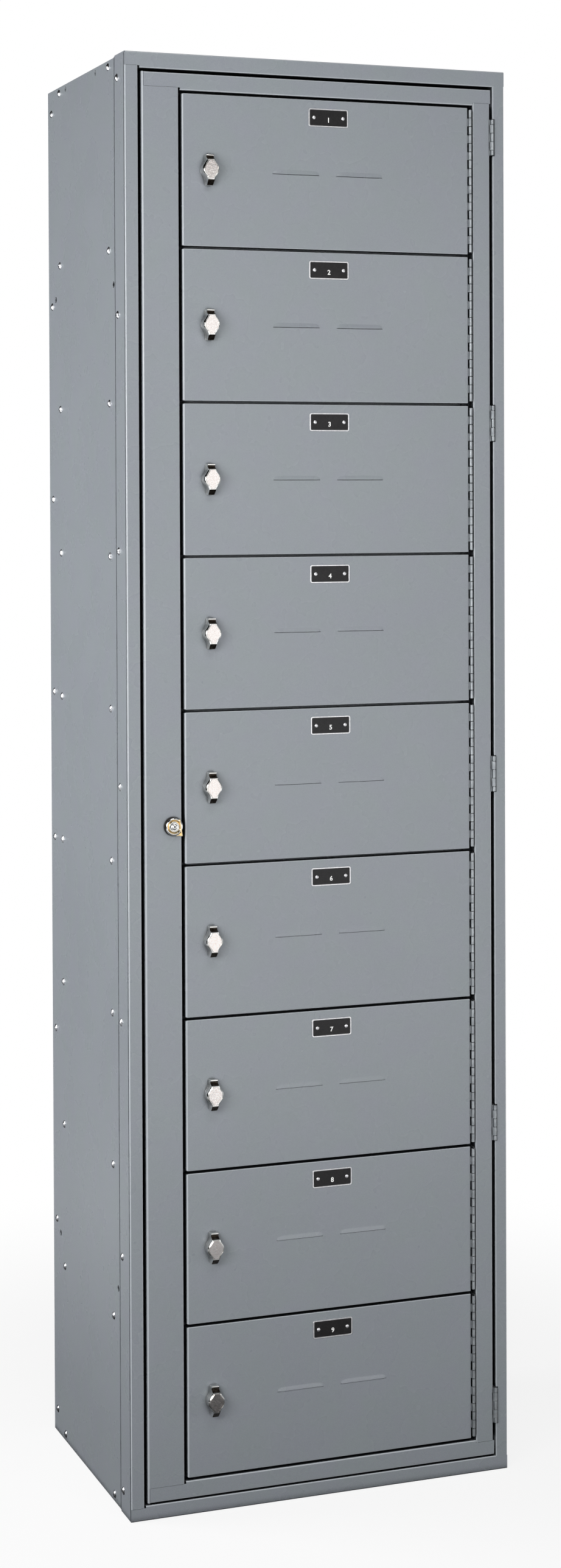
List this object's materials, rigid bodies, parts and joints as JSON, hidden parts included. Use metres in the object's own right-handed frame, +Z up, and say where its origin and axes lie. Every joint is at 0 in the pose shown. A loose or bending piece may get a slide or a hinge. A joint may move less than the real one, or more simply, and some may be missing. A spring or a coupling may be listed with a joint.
{
  "type": "compartment locker",
  "caption": "Tall steel locker with a column of small louvred doors on a lockable full-height master door, each with a chrome turn handle and a number plate.",
  "frame": {"origin": "middle of the base, at floor level", "axes": "+X to the right seen from the front, +Y from the front to the back, +Z up"},
  "size_m": [0.6076, 0.4373, 2.134],
  "materials": {
    "enamel": "semi-gloss baked enamel, blue-grey",
    "chrome": "polished plating",
    "zinc_steel": "bright zinc plating",
    "plate_black": "black printed, satin"
  },
  "bodies": {
    "cabinet": {"frame_upright_lock": "enamel", "frame_upright_hinge": "enamel", "frame_rails": "enamel", "side_panel_left": "enamel", "side_panel_right": "enamel", "back_panel": "enamel", "top_panel": "enamel", "bottom_panel": "enamel", "shelves": "enamel", "case_bolts": "zinc_steel", "case_nuts": "zinc_steel", "frame_hinge_leaves": "enamel"},
    "master_door": {"master_stile_lock": "enamel", "master_stile_hinge": "enamel", "master_rails": "enamel", "master_cross_bars": "enamel", "master_hinge_leaves": "enamel", "master_hinge_pins": "zinc_steel", "piano_hinge_leaves": "enamel", "piano_hinge_pins": "zinc_steel", "lock_housing": "chrome"},
    "master_lock": {"lock_plug": "chrome", "lock_cam": "zinc_steel"},
    "door_1": {"door_1": "enamel", "hinge_leaf_1": "enamel", "number_plate_1": "plate_black"},
    "handle_1": {"turn_handle_1": "chrome"},
    "door_2": {"door_2": "enamel", "hinge_leaf_2": "enamel", "number_plate_2": "plate_black"},
    "handle_2": {"turn_handle_2": "chrome"},
    "door_3": {"door_3": "enamel", "hinge_leaf_3": "enamel", "number_plate_3": "plate_black"},
    "handle_3": {"turn_handle_3": "chrome"},
    "door_4": {"door_4": "enamel", "hinge_leaf_4": "enamel", "number_plate_4": "plate_black"},
    "handle_4": {"turn_handle_4": "chrome"},
    "door_5": {"door_5": "enamel", "hinge_leaf_5": "enamel", "number_plate_5": "plate_black"},
    "handle_5": {"turn_handle_5": "chrome"},
    "door_6": {"door_6": "enamel", "hinge_leaf_6": "enamel", "number_plate_6": "plate_black"},
    "handle_6": {"turn_handle_6": "chrome"},
    "door_7": {"door_7": "enamel", "hinge_leaf_7": "enamel", "number_plate_7": "plate_black"},
    "handle_7": {"turn_handle_7": "chrome"},
    "door_8": {"door_8": "enamel", "hinge_leaf_8": "enamel", "number_plate_8": "plate_black"},
    "handle_8": {"turn_handle_8": "chrome"},
    "door_9": {"door_9": "enamel", "hinge_leaf_9": "enamel", "number_plate_9": "plate_black"},
    "handle_9": {"turn_handle_9": "chrome"}
  },
  "joints": [
    {"name": "master_door_hinge", "type": "hinge", "parent": "cabinet", "child": "master_door", "pos_m": [0.2815, -0.211, 1.067], "axis": [0, 0, 1], "range_deg": [0, 110]},
    {"name": "master_lock_turn", "type": "hinge", "parent": "master_door", "child": "master_lock", "pos_m": [-0.2328, -0.21, 1.011], "axis": [0, 1, 0], "range_deg": [0, 90]},
    {"name": "door_1_hinge", "type": "hinge", "parent": "master_door", "child": "door_1", "pos_m": [0.24475, -0.2105, 1.96639], "axis": [0, 0, 1], "range_deg": [0, 110]},
    {"name": "handle_1_turn", "type": "hinge", "parent": "door_1", "child": "handle_1", "pos_m": [-0.1745, -0.21, 1.96639], "axis": [0, 1, 0], "range_deg": [0, 90]},
    {"name": "door_2_hinge", "type": "hinge", "parent": "master_door", "child": "door_2", "pos_m": [0.24475, -0.2105, 1.74117], "axis": [0, 0, 1], "range_deg": [0, 110]},
    {"name": "handle_2_turn", "type": "hinge", "parent": "door_2", "child": "handle_2", "pos_m": [-0.1745, -0.21, 1.74117], "axis": [0, 1, 0], "range_deg": [0, 90]},
    {"name": "door_3_hinge", "type": "hinge", "parent": "master_door", "child": "door_3", "pos_m": [0.24475, -0.2105, 1.51594], "axis": [0, 0, 1], "range_deg": [0, 110]},
    {"name": "handle_3_turn", "type": "hinge", "parent": "door_3", "child": "handle_3", "pos_m": [-0.1745, -0.21, 1.51594], "axis": [0, 1, 0], "range_deg": [0, 90]},
    {"name": "door_4_hinge", "type": "hinge", "parent": "master_door", "child": "door_4", "pos_m": [0.24475, -0.2105, 1.29072], "axis": [0, 0, 1], "range_deg": [0, 110]},
    {"name": "handle_4_turn", "type": "hinge", "parent": "door_4", "child": "handle_4", "pos_m": [-0.1745, -0.21, 1.29072], "axis": [0, 1, 0], "range_deg": [0, 90]},
    {"name": "door_5_hinge", "type": "hinge", "parent": "master_door", "child": "door_5", "pos_m": [0.24475, -0.2105, 1.0655], "axis": [0, 0, 1], "range_deg": [0, 110]},
    {"name": "handle_5_turn", "type": "hinge", "parent": "door_5", "child": "handle_5", "pos_m": [-0.1745, -0.21, 1.0655], "axis": [0, 1, 0], "range_deg": [0, 90]},
    {"name": "door_6_hinge", "type": "hinge", "parent": "master_door", "child": "door_6", "pos_m": [0.24475, -0.2105, 0.84028], "axis": [0, 0, 1], "range_deg": [0, 110]},
    {"name": "handle_6_turn", "type": "hinge", "parent": "door_6", "child": "handle_6", "pos_m": [-0.1745, -0.21, 0.84028], "axis": [0, 1, 0], "range_deg": [0, 90]},
    {"name": "door_7_hinge", "type": "hinge", "parent": "master_door", "child": "door_7", "pos_m": [0.24475, -0.2105, 0.61506], "axis": [0, 0, 1], "range_deg": [0, 110]},
    {"name": "handle_7_turn", "type": "hinge", "parent": "door_7", "child": "handle_7", "pos_m": [-0.1745, -0.21, 0.61506], "axis": [0, 1, 0], "range_deg": [0, 90]},
    {"name": "door_8_hinge", "type": "hinge", "parent": "master_door", "child": "door_8", "pos_m": [0.24475, -0.2105, 0.38983], "axis": [0, 0, 1], "range_deg": [0, 110]},
    {"name": "handle_8_turn", "type": "hinge", "parent": "door_8", "child": "handle_8", "pos_m": [-0.1745, -0.21, 0.38983], "axis": [0, 1, 0], "range_deg": [0, 90]},
    {"name": "door_9_hinge", "type": "hinge", "parent": "master_door", "child": "door_9", "pos_m": [0.24475, -0.2105, 0.16461], "axis": [0, 0, 1], "range_deg": [0, 110]},
    {"name": "handle_9_turn", "type": "hinge", "parent": "door_9", "child": "handle_9", "pos_m": [-0.1745, -0.21, 0.16461], "axis": [0, 1, 0], "range_deg": [0, 90]}
  ]
}
